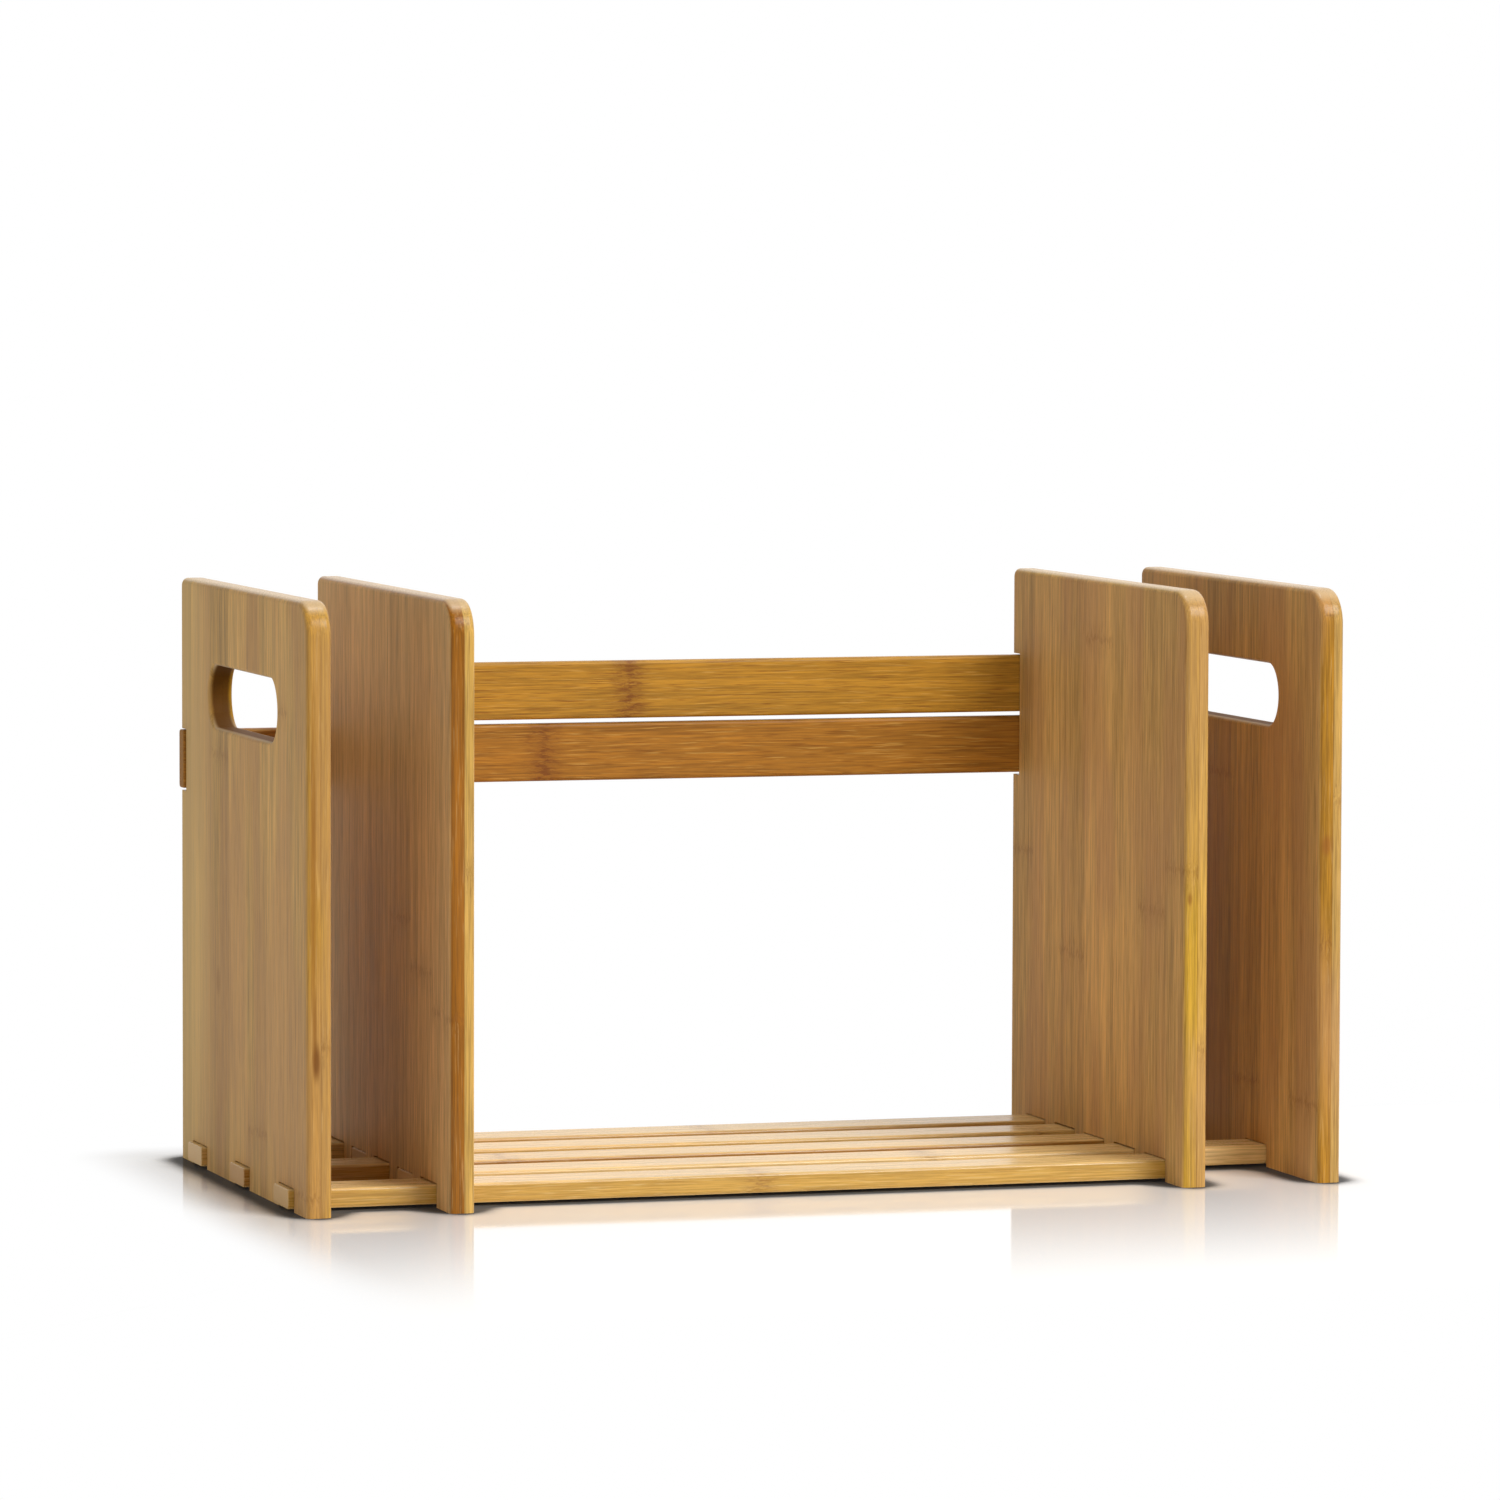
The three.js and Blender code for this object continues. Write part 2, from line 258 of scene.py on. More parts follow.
def stripTones(tree, across, farPly, look):
    # Strips lie side by side, each of its own tone, with a fine glue line between them
    width = look["stripWidth"]
    strip = addNode(tree, "ShaderNodeMath", [across, look["stripShift"]], operation="ADD")
    strip = addNode(tree, "ShaderNodeMath", [strip, width], operation="DIVIDE")
    staggered = [farPly, look["plyStagger"], strip]
    strip = addNode(tree, "ShaderNodeMath", staggered, operation="MULTIPLY_ADD")
    number = addNode(tree, "ShaderNodeMath", [strip], operation="FLOOR")
    first = look["seed"] * bambooGrain["seedStep"]
    number = addNode(tree, "ShaderNodeMath", [number, first], operation="ADD")
    tone = addNode(tree, "ShaderNodeTexWhiteNoise", {"W": number}, noise_dimensions="1D")
    share = addNode(tree, "ShaderNodeMath", [strip], operation="FRACT")
    glue = bambooGrain["glueWidth"] / width
    core = glue * bambooGrain["glueCore"]
    fade = [awayFrom(tree, share, 0.5), 0.5 - glue, 0.5 - core]
    return tone, addNode(tree, "ShaderNodeMapRange", fade, interpolation_type="SMOOTHSTEP")


def nodeDistance(tree, place, along, tone, look):
    # How far along the grain the nearest node of the cane is, with its line jagged lane by lane
    jag = stretchedNoise(tree, place, look["seed"], "nodeJag")
    stray = [jag, 0.0, 1.0, -bambooGrain["nodeJag"], bambooGrain["nodeJag"]]
    stray = addNode(tree, "ShaderNodeMapRange", stray, clamp=False)
    jagged = addNode(tree, "ShaderNodeMath", [along, stray], operation="ADD")
    if look["nodes"]:
        nearest = awayFrom(tree, jagged, look["nodes"][0])
        for node in look["nodes"][1:]:
            pair = [nearest, awayFrom(tree, jagged, node)]
            nearest = addNode(tree, "ShaderNodeMath", pair, operation="MINIMUM")
        return nearest
    # On a board each strip has its nodes at a height of its own
    turn = addNode(tree, "ShaderNodeMath", [jagged, look["nodeSpacing"]], operation="DIVIDE")
    turn = addNode(tree, "ShaderNodeMath", [turn, tone], operation="ADD")
    share = addNode(tree, "ShaderNodeMath", [turn], operation="FRACT")
    scaled = [awayFrom(tree, share, 0.5), look["nodeSpacing"]]
    return addNode(tree, "ShaderNodeMath", scaled, operation="MULTIPLY")


def distanceFrom(tree, place, block):
    # How far a point lies outside a block
    for operation, value in (
        ("SUBTRACT", block["middle"]),
        ("ABSOLUTE", (0, 0, 0)),
        ("SUBTRACT", block["half"]),
        ("MAXIMUM", (0, 0, 0)),
    ):
        place = addNode(tree, "ShaderNodeVectorMath", [place, value], operation=operation)
    return addNode(tree, "ShaderNodeVectorMath", [place], operation="LENGTH").outputs["Value"]


def facing(tree, normal, axis):
    # 1 where the surface faces straight along the axis, either way, and 0 where it lies along it
    along = addNode(tree, "ShaderNodeSeparateXYZ", [normal]).outputs["XYZ".index(axis)]
    return addNode(tree, "ShaderNodeMath", [along], operation="ABSOLUTE")


def markMask(tree, place, mark):
    # A spindle-shaped mark about its middle, soft at its edge
    offset = addNode(tree, "ShaderNodeVectorMath", [place, mark["middle"]], operation="SUBTRACT")
    scaled = addNode(tree, "ShaderNodeVectorMath", [offset, mark["halfSize"]], operation="DIVIDE")
    reach = addNode(tree, "ShaderNodeVectorMath", [scaled], operation="LENGTH").outputs["Value"]
    fade = [reach, *grainFades["mark"]]
    return addNode(tree, "ShaderNodeMapRange", fade, interpolation_type="SMOOTHSTEP")


def bambooMaterial(name, look):
    grain = bambooGrain
    seed = look["seed"]
    material, tree = newMaterial(name)
    coordinates = addNode(tree, "ShaderNodeTexCoord").outputs
    split = addNode(tree, "ShaderNodeSeparateXYZ", [coordinates["Object"]])
    across, through, along = (split.outputs["XYZ".index(axis)] for axis in look["axes"])
    straight = addNode(tree, "ShaderNodeCombineXYZ", [across, through, along])
    farPly = addNode(tree, "ShaderNodeMath", [through, look["plySplit"]], operation="GREATER_THAN")
    tone, stripGlue = stripTones(tree, across, farPly, look)
    toNode = nodeDistance(tree, straight, along, tone, look)
    near = [toNode, *grainFades["nodeNear"]]
    near = addNode(tree, "ShaderNodeMapRange", near, interpolation_type="SMOOTHSTEP")

    # The fibres wander a little everywhere, and bend where a node is near
    wanderInputs = {
        "Vector": coordinates["Object"],
        "Scale": 1 / grain["wanderLength"],
        "Detail": grain["wanderDetail"],
    }
    wander = addNode(tree, "ShaderNodeTexNoise", wanderInputs)
    swirl = stretchedNoise(tree, straight, seed, "nodeSwirl")
    bent = across
    for noise, reach, share in (
        (wander, grain["wander"], 1.0),
        (swirl, grain["nodeSwirl"], near),
    ):
        sway = addNode(tree, "ShaderNodeMapRange", [noise, 0.0, 1.0, -reach, reach], clamp=False)
        bent = addNode(tree, "ShaderNodeMath", [sway, share, bent], operation="MULTIPLY_ADD")
    place = addNode(tree, "ShaderNodeCombineXYZ", [bent, through, along])

    noises = {
        noise: stretchedNoise(tree, place, seed, noise)
        for noise in ("fibre", "streak", "darkDash", "lightDash", "blush", "blotch")
    }
    squeezed = (1, 1, 1 / grain["bundleStretch"])
    bundlePlace = {"Vector": place, "Location": (seed, 0, 0), "Scale": squeezed}
    bundleInputs = {
        "Vector": addNode(tree, "ShaderNodeMapping", bundlePlace),
        "Scale": 1 / grain["bundleSpacing"],
        "Randomness": grain["bundleRandomness"],
    }

    # Masks for what is drawn over the wood's own colour: each value is faded in turn
    mask = {
        "blush": noises["blush"],
        "lightDash": noises["lightDash"],
        "darkDash": noises["darkDash"],
        "bundle": addNode(tree, "ShaderNodeTexVoronoi", bundleInputs),
        "blotch": noises["blotch"],
        "nodeThickness": noises["blotch"],
        "plyGlue": awayFrom(tree, through, look["plySplit"]),
        "endGrain": facing(tree, coordinates["Normal"], look["axes"][2]),
    }
    for part, value in mask.items():
        fade = [value, *grainFades[part]]
        mask[part] = addNode(tree, "ShaderNodeMapRange", fade, interpolation_type="SMOOTHSTEP")
    mask["blotch"] = addNode(tree, "ShaderNodeMath", [mask["blotch"], near], operation="MULTIPLY")
    line = [toNode, mask["nodeThickness"]]
    fade = [addNode(tree, "ShaderNodeMath", line, operation="DIVIDE"), *grainFades["nodeLine"]]
    mask["nodeLine"] = addNode(tree, "ShaderNodeMapRange", fade, interpolation_type="SMOOTHSTEP")
    mask["stripGlue"] = stripGlue
    mask["bloom"] = near
    # The skin is the outer faces; on the bottom slats its paler colour is partly the strip's own
    # skin and partly painted sheen of the lit tops
    skinStart = look["halfThickness"] - look["skinDepth"]
    fade = [awayFrom(tree, through, look["middle"]), skinStart, look["halfThickness"]]
    skin = addNode(tree, "ShaderNodeMapRange", fade, interpolation_type="SMOOTHSTEP")

    # Colour: the two plies, the tones of strip and fibre, then the marks in turn; some of these
    # colours are painted light and shade, as said where they are set
    colour = linearColour(look["nearPly"])
    for over, layerColour in ((farPly, look["farPly"]), (skin, look["face"])):
        inputs = {0: over, 6: colour, 7: linearColour(layerColour)}
        colour = addNode(tree, "ShaderNodeMix", inputs, data_type="RGBA").outputs[2]
    shade = 1.0
    for value, spread, start, end in (
        (tone, look["toneSpread"], 0.0, 1.0),
        (noises["streak"], look["streak"], *look["noiseSpan"]),
        (noises["fibre"], look["fibre"], *look["noiseSpan"]),
    ):
        change = [value, start, end, -spread, spread]
        change = addNode(tree, "ShaderNodeMapRange", change, interpolation_type="SMOOTHSTEP")
        shade = addNode(tree, "ShaderNodeMath", [shade, change], operation="ADD")
    shade = addNode(tree, "ShaderNodeCombineColor", [shade, shade, shade])
    inputs = {0: 1.0, 6: colour, 7: shade}
    shaded = addNode(tree, "ShaderNodeMix", inputs, data_type="RGBA", blend_type="MULTIPLY")
    colour = shaded.outputs[2]
    layers = [
        (mask[part], look[part], look[layerColour])
        for part, layerColour in (
            ("blush", "blushColour"),
            ("lightDash", "lightColour"),
            ("darkDash", "darkColour"),
            ("bundle", "darkColour"),
            ("bloom", "nodeColour"),
            ("blotch", "nodeColour"),
            ("nodeLine", "nodeColour"),
            ("stripGlue", "glueColour"),
            ("plyGlue", "glueColour"),
            ("endGrain", "endColour"),
        )
    ]
    for mark in look["marks"]:
        layers.append((markMask(tree, place, mark), mark["strength"], mark["colour"]))
    dull = addNode(tree, "ShaderNodeMath", [skin, look["faceDulling"]], operation="MULTIPLY")
    dulled = [mask["endGrain"], look["endDulling"], dull]
    dull = addNode(tree, "ShaderNodeMath", dulled, operation="MULTIPLY_ADD")
    if look["hole"]:
        # Painted shade: the hand hole's sawn wall is darkened in colour, standing in for the shade
        # inside the hole
        paintedWallShade = [distanceFrom(tree, straight, look["hole"]), *grainFades["holeWall"]]
        paintedWallShade = addNode(tree, "ShaderNodeMapRange", paintedWallShade, interpolation_type="SMOOTHSTEP")
        layers.append((paintedWallShade, paintedHoleShade["strength"], paintedHoleShade["colour"]))
        dulled = [paintedWallShade, paintedHoleShade["dulling"], dull]
        dull = addNode(tree, "ShaderNodeMath", dulled, operation="MULTIPLY_ADD")
    for over, strength, layerColour in layers:
        amount = addNode(tree, "ShaderNodeMath", [over, strength], operation="MULTIPLY")
        inputs = {0: amount, 6: colour, 7: linearColour(layerColour)}
        colour = addNode(tree, "ShaderNodeMix", inputs, data_type="RGBA").outputs[2]

    # The lacquer follows the fibres a little, and sinks at nodes, bundles and glue lines
    relief = noises["fibre"]
    for part, depth in grain["sunk"].items():
        sunk = [mask[part], -depth, relief]
        relief = addNode(tree, "ShaderNodeMath", sunk, operation="MULTIPLY_ADD")
    bumpInputs = {"Height": relief, "Distance": grain["fibreDepth"], "Strength": look["relief"]}
    # Edges are rubbed smooth and gather lacquer; broad faces are duller, and so are a slat's
    # ends, which drink the lacquer in
    wear = [noises["fibre"], *look["noiseSpan"], *look["roughness"]]
    wear = addNode(tree, "ShaderNodeMapRange", wear, interpolation_type="SMOOTHSTEP")
    coat = 0.0
    if look["edgeCoat"]:
        coat = [dull, 0.0, look["coatEnd"], look["edgeCoat"], 0.0]
        coat = addNode(tree, "ShaderNodeMapRange", coat, interpolation_type="SMOOTHSTEP")
    surface = addNode(
        tree,
        "ShaderNodeBsdfPrincipled",
        {
            "Base Color": colour,
            "Roughness": addNode(tree, "ShaderNodeMath", [wear, dull], operation="ADD"),
            "Normal": addNode(tree, "ShaderNodeBump", bumpInputs),
            "IOR": look["lacquerIndex"],
            "Specular IOR Level": look["mirror"],
            "Coat Weight": coat,
            "Coat Roughness": look["coatRoughness"],
        },
    )
    addNode(tree, "ShaderNodeOutputMaterial", [surface])
    return material


# Zinc-plated steel: cold-headed, then plated bright, so it is a grey metal with a faint
# bluish cast, fine drawing marks and a little dullness where plating is thin
zincLook = {
    "colour": "#b9bcc0",
    "stain": "#9c9a93",
    "mottleSize": 0.6 * mm,
    "mottleDetail": 4.0,
    "mottleRoughness": 0.6,
    "stainFade": (0.4, 0.7),
    "drawingDepth": 0.01 * mm,
    "relief": 0.5,
    "roughness": (0.3, 0.75, 0.22, 0.42),  # from one mottle value to another, and at either
}


def zincPlatedSteel():
    material, tree = newMaterial("zincPlatedSteel")
    place = addNode(tree, "ShaderNodeTexCoord").outputs["Object"]
    mottleInputs = {
        "Vector": place,
        "Scale": 1 / zincLook["mottleSize"],
        "Detail": zincLook["mottleDetail"],
        "Roughness": zincLook["mottleRoughness"],
    }
    mottle = addNode(tree, "ShaderNodeTexNoise", mottleInputs)
    stained = [mottle, *zincLook["stainFade"]]
    stained = addNode(tree, "ShaderNodeMapRange", stained, interpolation_type="SMOOTHSTEP")
    tones = {0: stained, 6: linearColour(zincLook["colour"]), 7: linearColour(zincLook["stain"])}
    wear = [mottle, *zincLook["roughness"]]
    wear = addNode(tree, "ShaderNodeMapRange", wear, interpolation_type="SMOOTHSTEP")
    relief = {
        "Height": mottle,
        "Distance": zincLook["drawingDepth"],
        "Strength": zincLook["relief"],
    }
    surface = addNode(
        tree,
        "ShaderNodeBsdfPrincipled",
        {
            "Base Color": addNode(tree, "ShaderNodeMix", tones, data_type="RGBA").outputs[2],
            "Metallic": 1.0,
            "Roughness": wear,
            "Normal": addNode(tree, "ShaderNodeBump", relief),
        },
    )
    addNode(tree, "ShaderNodeOutputMaterial", [surface])
    return material


# Camera at the photograph's viewing angle
cameraPlace = {
    "location": (-0.8112, -2.6060, 0.3289),
    "yaw": 17.25,  # degrees to the right of +Y
    "pitch": -3.89,
    "roll": 0.166,
    "lens": 193.3,
    "sensor": 36,
    "clip": (0.1, 200),
}


def makeCamera():
    deselectAll()
    bpy.ops.object.camera_add(location=cameraPlace["location"])
    camera = bpy.context.object
    turn = Matrix.Rotation(math.radians(-cameraPlace["yaw"]), 3, "Z")
    tilt = Matrix.Rotation(math.radians(90 + cameraPlace["pitch"]), 3, "X")
    roll = Matrix.Rotation(math.radians(cameraPlace["roll"]), 3, "Z")
    camera.rotation_euler = (turn @ tilt @ roll).to_euler()
    camera.data.lens = cameraPlace["lens"]
    camera.data.sensor_width = cameraPlace["sensor"]
    camera.data.clip_start, camera.data.clip_end = cameraPlace["clip"]
    bpy.context.scene.camera = camera
    print("camera is in place")


# Studio: white floor and surroundings, a soft key from the front right and above, a weak lamp
# overhead
studio = {
    "ambient": 0.4,
    "floorColour": "#f4f3f1",
    "floorSize": 60.0,
    "floorLift": 0.05,  # added for the camera, so that the lit floor shows white
    # The floor the rack stands on, also drawn out
    "footprint": {"middle": (0.1225, 0, 0), "half": (0.3075, 0.09, 1)},
    "gloss": (0.5, 0.0),  # at the footprint and where it ends
    "glossReach": 0.24,
    "mirrorRoughness": 0.06,
    # The footprint and what lies before it
    "foreground": {"middle": (0.1275, -0.11, 0), "half": (0.3125, 0.2, 1)},
    "whiteReach": 0.035,  # the floor turns plain white over this far round the foreground
    "contactReach": 0.014,  # how far the painted contact shadow spreads from the rack's foot
    "contactSamples": 32,
    "contactShade": (0.7, 1.0, 0.1, 1.0),  # from one openness to another, and the shade at either
    "aim": (0, 0, 0.09),  # the lamps point at the rack's middle
    "key": {"place": (1.12, -1.77, 2.18), "size": 1.4, "power": 66},
    "top": {"place": (0.2, 0.3, 2.0), "size": 0.45, "power": 7},
}


def addLamp(name):
    settings = studio[name]
    deselectAll()
    bpy.ops.object.light_add(type="AREA", location=settings["place"])
    lamp = bpy.context.object
    lamp.name = name + "Lamp"
    lamp.data.shape = "DISK"
    lamp.data.size = settings["size"]
    lamp.data.energy = settings["power"]
    aim = Vector(studio["aim"]) - lamp.location
    lamp.rotation_euler = aim.to_track_quat("-Z", "Y").to_euler()


def seenRays(tree):
    # 1 for what the camera sees straight, mirrored or through glass
    path = addNode(tree, "ShaderNodeLightPath").outputs
    seen = path["Is Camera Ray"]
    for kind in ("Is Glossy Ray", "Is Transmission Ray"):
        seen = addNode(tree, "ShaderNodeMath", [seen, path[kind]], operation="MAXIMUM")
    return seen


def floorMaterial():
    # White acrylic sheet: mirrors the rack's foot softly, less the further the floor is from it,
    # and carries a painted contact shadow round the rack's foot
    material, tree = newMaterial("whiteAcrylicSheet")
    place = addNode(tree, "ShaderNodeTexCoord").outputs["Object"]
    seen = seenRays(tree)
    reach = {"Distance": studio["contactReach"]}
    samples = studio["contactSamples"]
    openness = addNode(tree, "ShaderNodeAmbientOcclusion", reach, samples=samples).outputs["AO"]
    fades = {
        "contact": [openness, *studio["contactShade"]],
        "gloss": [
            distanceFrom(tree, place, studio["footprint"]),
            0.0,
            studio["glossReach"],
            *studio["gloss"],
        ],
        "beyond": [distanceFrom(tree, place, studio["foreground"]), 0.0, studio["whiteReach"]],
    }
    for part, fade in fades.items():
        fades[part] = addNode(tree, "ShaderNodeMapRange", fade, interpolation_type="SMOOTHSTEP")
    # Painted shadow: what the camera sees of the floor is darkened where the rack stands close, as
    # a contact shadow
    clear = addNode(tree, "ShaderNodeMapRange", [seen, 0.0, 1.0, 1.0, fades["contact"]])
    shade = addNode(tree, "ShaderNodeCombineColor", [clear, clear, clear])
    tint = {0: 1.0, 6: linearColour(studio["floorColour"]), 7: shade}
    tint = addNode(tree, "ShaderNodeMix", tint, data_type="RGBA", blend_type="MULTIPLY").outputs[2]
    matt = addNode(tree, "ShaderNodeBsdfDiffuse", [tint])
    mirror = addNode(tree, "ShaderNodeBsdfGlossy", [pureWhite, studio["mirrorRoughness"]])
    gloss = addNode(tree, "ShaderNodeMath", [fades["gloss"], clear], operation="MULTIPLY")
    sheet = addNode(tree, "ShaderNodeMixShader", [gloss, matt, mirror])
    lift = addNode(tree, "ShaderNodeMath", [seen, clear], operation="MULTIPLY")
    lift = addNode(tree, "ShaderNodeMath", [lift, studio["floorLift"]], operation="MULTIPLY")
    glow = addNode(tree, "ShaderNodeEmission", [pureWhite, lift])
    lit = addNode(tree, "ShaderNodeAddShader", [sheet, glow])
    white = addNode(tree, "ShaderNodeEmission", [pureWhite, clear])
    whiteness = addNode(tree, "ShaderNodeMath", [seen, fades["beyond"]], operation="MULTIPLY")
    whole = addNode(tree, "ShaderNodeMixShader", [whiteness, lit, white])
    addNode(tree, "ShaderNodeOutputMaterial", [whole])
    return material


def makeStudio():
    world = bpy.data.worlds.new("whiteStudio")
    world.use_nodes = True
    tree = world.node_tree
    tree.nodes.clear()
    level = [seenRays(tree), 0.0, 1.0, studio["ambient"], 1.0]
    level = addNode(tree, "ShaderNodeMapRange", level)
    light = addNode(tree, "ShaderNodeBackground", [pureWhite, level])
    addNode(tree, "ShaderNodeOutputWorld", [light])
    bpy.context.scene.world = world
    for name in ("key", "top"):
        addLamp(name)

    deselectAll()
    bpy.ops.mesh.primitive_plane_add(size=studio["floorSize"])
    floor = bpy.context.object
    floor.name = "whiteFloor"
    floor.data.materials.append(floorMaterial())
    bpy.context.scene.view_settings.view_transform = "Standard"
    print("studio is lit")


# Screws: countersunk, cross recess, thread drawn as rings at its own pitch
screwShape = {
    "sides": 32,
    "headRadius": 3.0 * mm,
    "headRim": 0.3 * mm,
    "rimRound": 0.1 * mm,
    "headDepth": 1.9 * mm,
    "shankRadius": 1.4 * mm,
    "rootRadius": 1.1 * mm,
    "length": 18 * mm,
    "threadStart": 6.5 * mm,
    "threadPitch": 1.1 * mm,
    # Along each turn, in pitches: where the thread's root and crest start and end
    "threadProfile": (
        (0.35, "rootRadius"),
        (0.75, "rootRadius"),
        (0.95, "shankRadius"),
        (1.0, "shankRadius"),
    ),
    "tipLead": 0.3,  # pitches from the last crest to the tip's cone
    "tipLength": 2.5 * mm,
    "tipRadius": 0.12 * mm,
    "recessReach": 1.6 * mm,
    "recessWidth": 0.7 * mm,
    "recessDepth": 1.2 * mm,
    "recessTaper": 0.45,
    "holeGap": 0.3 * mm,
    "overrun": 2 * mm,
}


def screwRings():
    # Depth below the head's face and radius, ring by ring
    shape = screwShape
    rings = [
        (0, shape["headRadius"] - shape["rimRound"]),
        (shape["rimRound"], shape["headRadius"]),
        (shape["headRim"], shape["headRadius"]),
        (shape["headDepth"], shape["shankRadius"]),
        (shape["threadStart"], shape["shankRadius"]),
    ]
    tipStart = shape["length"] - shape["tipLength"]
    turns = int((tipStart - shape["threadStart"]) / shape["threadPitch"])
    for turn in range(turns):
        for share, radius in shape["threadProfile"]:
            depth = shape["threadStart"] + (turn + share) * shape["threadPitch"]
            rings.append((depth, shape[radius]))
    rings.append((tipStart + shape["tipLead"] * shape["threadPitch"], shape["rootRadius"]))
    rings.append((shape["length"], shape["tipRadius"]))
    return rings


def turnedSolid(rings):
    # A disc drawn out ring by ring along +Z, as on a lathe
    deselectAll()
    start, radius = rings[0]
    bpy.ops.mesh.primitive_circle_add(
        vertices=screwShape["sides"], radius=radius, fill_type="NGON", location=(0, 0, start)
    )
    solid = bpy.context.object
    bpy.ops.object.transform_apply(location=True, rotation=True, scale=True)
    bpy.ops.object.mode_set(mode="EDIT")
    bpy.ops.mesh.select_all(action="SELECT")
    for depth, nextRadius in rings[1:]:
        bpy.ops.mesh.extrude_region_move(TRANSFORM_OT_translate={"value": (0, 0, depth - start)})
        ratio = nextRadius / radius
        bpy.ops.transform.resize(value=(ratio, ratio, 1), center_override=(0, 0, depth))
        start, radius = depth, nextRadius
    bpy.ops.mesh.select_all(action="SELECT")
    bpy.ops.mesh.normals_make_consistent(inside=False)
    bpy.ops.object.mode_set(mode="OBJECT")
    return solid


def recessBar():
    # One bar of the cross recess, narrower at its bottom
    shape = screwShape
    bar = blockBetween(
        (-shape["recessReach"], -shape["recessWidth"] / 2, -shape["overrun"]),
        (shape["recessReach"], shape["recessWidth"] / 2, shape["recessDepth"]),
    )
    bpy.ops.object.mode_set(mode="EDIT")
    bpy.ops.mesh.select_mode(type="VERT")
    bpy.ops.mesh.select_all(action="DESELECT")
    mesh = bmesh.from_edit_mesh(bar.data)
    for corner in mesh.verts:
        if onPlane(corner.co.z, shape["recessDepth"]):
            corner.select_set(True)
    bmesh.update_edit_mesh(bar.data)
    taper = shape["recessTaper"]
    bpy.ops.transform.resize(value=(taper, taper, 1), center_override=(0, 0, shape["recessDepth"]))
    bpy.ops.object.mode_set(mode="OBJECT")
    return bar


def screwPlace(node):
    # Bottom screws point up; the others point from the back to the front
    low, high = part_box(node)
    middle = (low + high) / 2
    if node.endswith("_back"):
        quarterTurn = Matrix.Rotation(math.radians(90), 4, "X")
        return Matrix.Translation((middle.x, high.y, middle.z)) @ quarterTurn
    return Matrix.Translation((middle.x, middle.y, low.z))


def moveTo(piece, matrix):
    selectOnly(piece)
    piece.matrix_world = matrix
    bpy.ops.object.transform_apply(location=True, rotation=True, scale=True)
    return piece


def makeMasterScrew():
    screw = turnedSolid(screwRings())
    screw.name = "masterScrew"
    quarterTurn = Matrix.Rotation(math.radians(90), 4, "Z")
    cutAway(screw, recessBar())
    cutAway(screw, moveTo(recessBar(), quarterTurn))
    return screw


def screwHoleCutter(node):
    shape = screwShape
    gap = shape["holeGap"]
    rings = [
        (-shape["overrun"], shape["headRadius"] + gap),
        (shape["headRim"], shape["headRadius"] + gap),
        (shape["headDepth"], shape["shankRadius"] + gap),
        (shape["length"] + gap, shape["shankRadius"] + gap),
    ]
    return moveTo(turnedSolid(rings), screwPlace(node))


def makeScrews(material):
    master = makeMasterScrew()
    screws = [node for node in sorted(frame["nodes"]) if "_screw_" in node]
    for node in screws:
        screw = master.copy()
        screw.data = master.data.copy()
        bpy.context.scene.collection.objects.link(screw)
        moveTo(screw, screwPlace(node))
        finishPiece(screw, node, material)
    bpy.data.objects.remove(master)
    print("screws:", len(screws))


# Boards: two plies thick, rounded all round but for the foot, which is sawn square
boardShape = {
    "frontTopRadius": 12 * mm,
    "cornerSteps": 16,
    "rearTopRadius": 3 * mm,
    "rearSteps": 6,
    "edgeRound": 2 * mm,
    "edgeSteps": 5,
    "holeLength": 96 * mm,
    "holeHeight": 21 * mm,
    "holeDrop": 38 * mm,
    "holeSteps": 18,
    "rimRound": 1.5 * mm,
    "rimSteps": 4,
    "seatGap": 0.3 * mm,
    "slideGap": 0.5 * mm,
    "backPlay": 1.0 * mm,
    "overrun": 2 * mm,
}


def handHoleCutter(low, high):
    shape = boardShape
    middleY = (low.y + high.y) / 2
    middleZ = high.z - shape["holeDrop"]
    halfLength, halfHeight = shape["holeLength"] / 2, shape["holeHeight"] / 2
    cutter = blockBetween(
        (low.x - shape["overrun"], middleY - halfLength, middleZ - halfHeight),
        (high.x + shape["overrun"], middleY + halfLength, middleZ + halfHeight),
    )
    roundEdges(cutter, lambda a, b: not onPlane(a.x, b.x), halfHeight - nearby, shape["holeSteps"])
    return cutter


def roundRim(board, low, high):
    # The rims of the hand hole, on both faces of the board
    shape = boardShape
    middle = (low + high) / 2
    reachY = shape["holeLength"] / 2 + nearby
    middleZ = high.z - shape["holeDrop"]
    reachZ = shape["holeHeight"] / 2 + nearby

    def onRim(a, b):
        inside = all(
            abs(end.y - middle.y) < reachY and abs(end.z - middleZ) < reachZ for end in (a, b)
        )
        return inside and onPlane(a.x, b.x) and (onPlane(a.x, low.x) or onPlane(a.x, high.x))

    roundEdges(board, onRim, shape["rimRound"], shape["rimSteps"])


def bottomNotchCutter(low, high, slat, gap):
    slatLow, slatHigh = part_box(slat)
    over = boardShape["overrun"]
    return blockBetween(
        (low.x - over, slatLow.y - gap, low.z - over),
        (high.x + over, slatHigh.y + gap, slatHigh.z + gap),
    )


def rearNotchCutter(low, high, slat, gap, lowZ, highZ):
    slatLow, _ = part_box(slat)
    over = boardShape["overrun"]
    return blockBetween(
        (low.x - over, slatLow.y - gap, lowZ),
        (high.x + over, high.y + over, highZ),
    )


